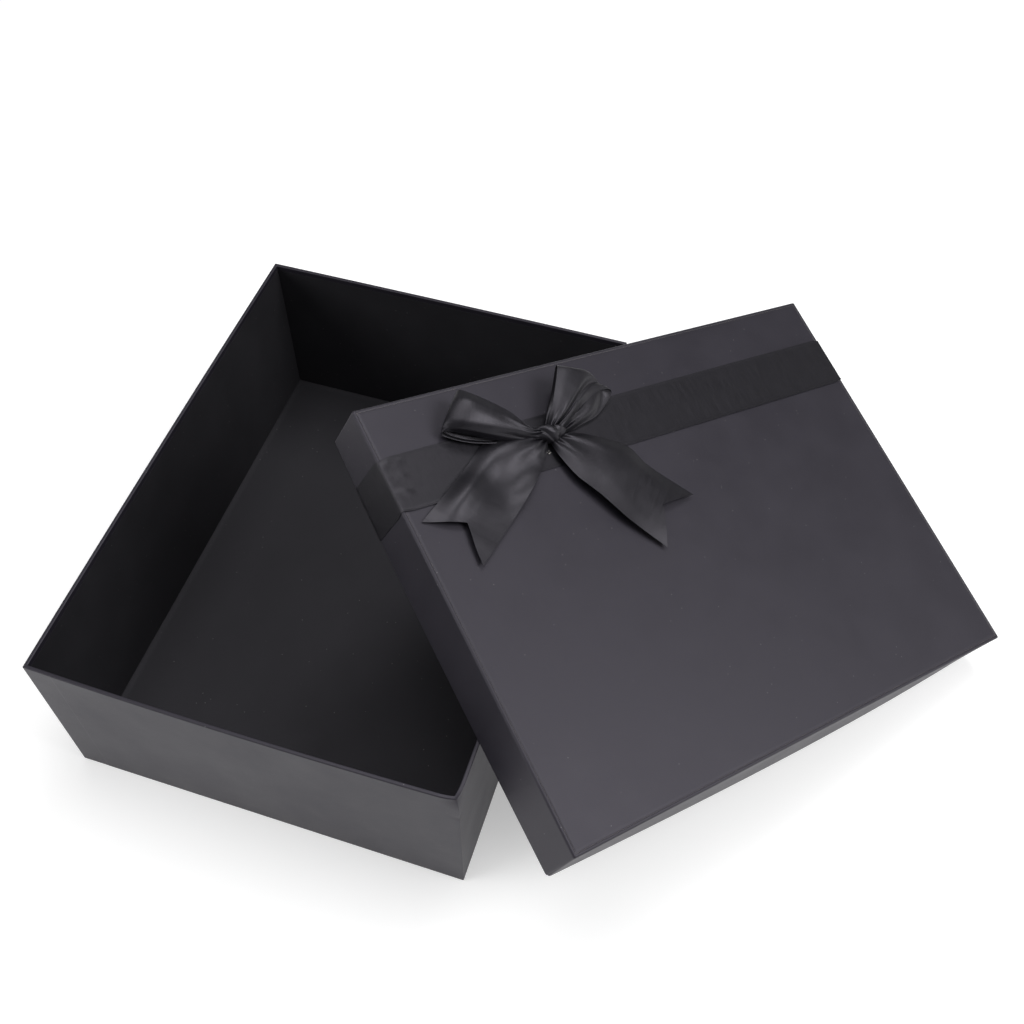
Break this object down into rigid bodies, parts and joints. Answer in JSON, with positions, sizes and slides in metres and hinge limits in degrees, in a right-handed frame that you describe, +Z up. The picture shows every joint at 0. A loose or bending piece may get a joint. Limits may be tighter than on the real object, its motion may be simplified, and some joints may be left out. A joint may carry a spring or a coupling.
{
  "type": "gift box",
  "caption": "Black rigid gift box: deep open base, and a separate lid leaning on the base's wall, with a satin ribbon band and a tied bow.",
  "frame": {"origin": "centre of the base's underside", "axes": "+Z up, the base's long sides run along Y, and the lid leans on the base's +X wall"},
  "size_m": [0.6054, 0.4954, 0.2314],
  "materials": {
    "greyboard": "raw grey chipboard",
    "stay_tape": "gummed kraft paper",
    "wrapping_paper": "matt black dyed wrapping paper",
    "lining_paper": "matt black lining paper",
    "satin_ribbon": "black polyester satin",
    "glue": "set hot glue"
  },
  "bodies": {
    "base": {"base_bottom_board": "greyboard", "base_left_board": "greyboard", "base_right_board": "greyboard", "base_front_board": "greyboard", "base_back_board": "greyboard", "base_stay_front_left": "stay_tape", "base_stay_front_right": "stay_tape", "base_stay_back_left": "stay_tape", "base_stay_back_right": "stay_tape", "base_side_wrap": "wrapping_paper", "base_bottom_sheet": "wrapping_paper", "base_floor_liner": "lining_paper", "base_side_lining": "lining_paper"},
    "lid": {"lid_top_board": "greyboard", "lid_left_board": "greyboard", "lid_right_board": "greyboard", "lid_front_board": "greyboard", "lid_back_board": "greyboard", "lid_stay_front_left": "stay_tape", "lid_stay_front_right": "stay_tape", "lid_stay_back_left": "stay_tape", "lid_stay_back_right": "stay_tape", "lid_wrap": "wrapping_paper", "lid_top_liner": "lining_paper", "ribbon_band": "satin_ribbon", "bow_knot": "satin_ribbon", "bow_left_loop": "satin_ribbon", "bow_right_loop": "satin_ribbon", "bow_left_tail": "satin_ribbon", "bow_right_tail": "satin_ribbon", "bow_glue_dot": "glue"}
  },
  "joints": [
    {"name": "lid_lift", "type": "slide", "parent": "base", "child": "lid", "axis": [0, 0, 1], "range_m": [0, 0.2]}
  ]
}
